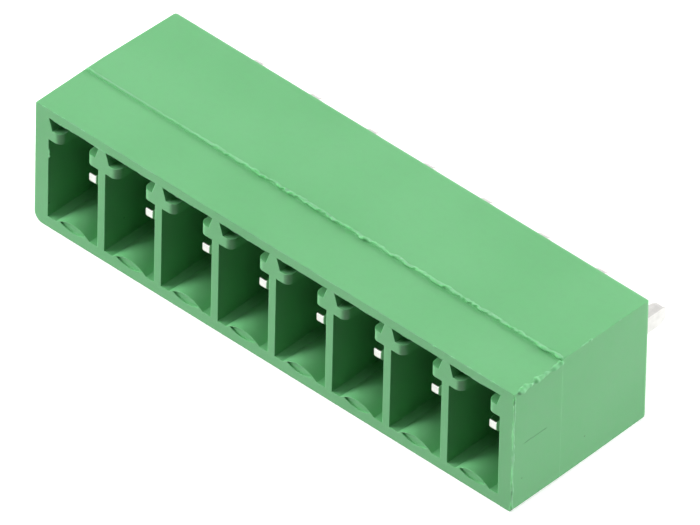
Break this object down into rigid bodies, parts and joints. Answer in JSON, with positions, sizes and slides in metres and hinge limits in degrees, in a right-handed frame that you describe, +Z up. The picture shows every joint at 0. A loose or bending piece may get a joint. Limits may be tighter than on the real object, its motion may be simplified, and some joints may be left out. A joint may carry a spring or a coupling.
{
  "type": "pluggable terminal block header",
  "caption": "Straight board header of a pluggable terminal block: a moulded housing with a row of open cavities and guide ears, and tinned pins through its back wall.",
  "frame": {"origin": "middle of the footprint of housing and solder pins, on the long side that the header lies on", "axes": "+X along the row of poles, +Y from the plug mouth towards the solder pins, +Z up through the side with the guide ears"},
  "size_m": [0.0292, 0.0124, 0.0069],
  "materials": {
    "housing": "moulded glass-filled polyamide, satin",
    "pins": "bright tin plating on brass"
  },
  "bodies": {
    "root": {"housing": "housing", "pin_1": "pins", "pin_2": "pins", "pin_3": "pins", "pin_4": "pins", "pin_5": "pins", "pin_6": "pins", "pin_7": "pins", "pin_8": "pins"}
  },
  "joints": []
}
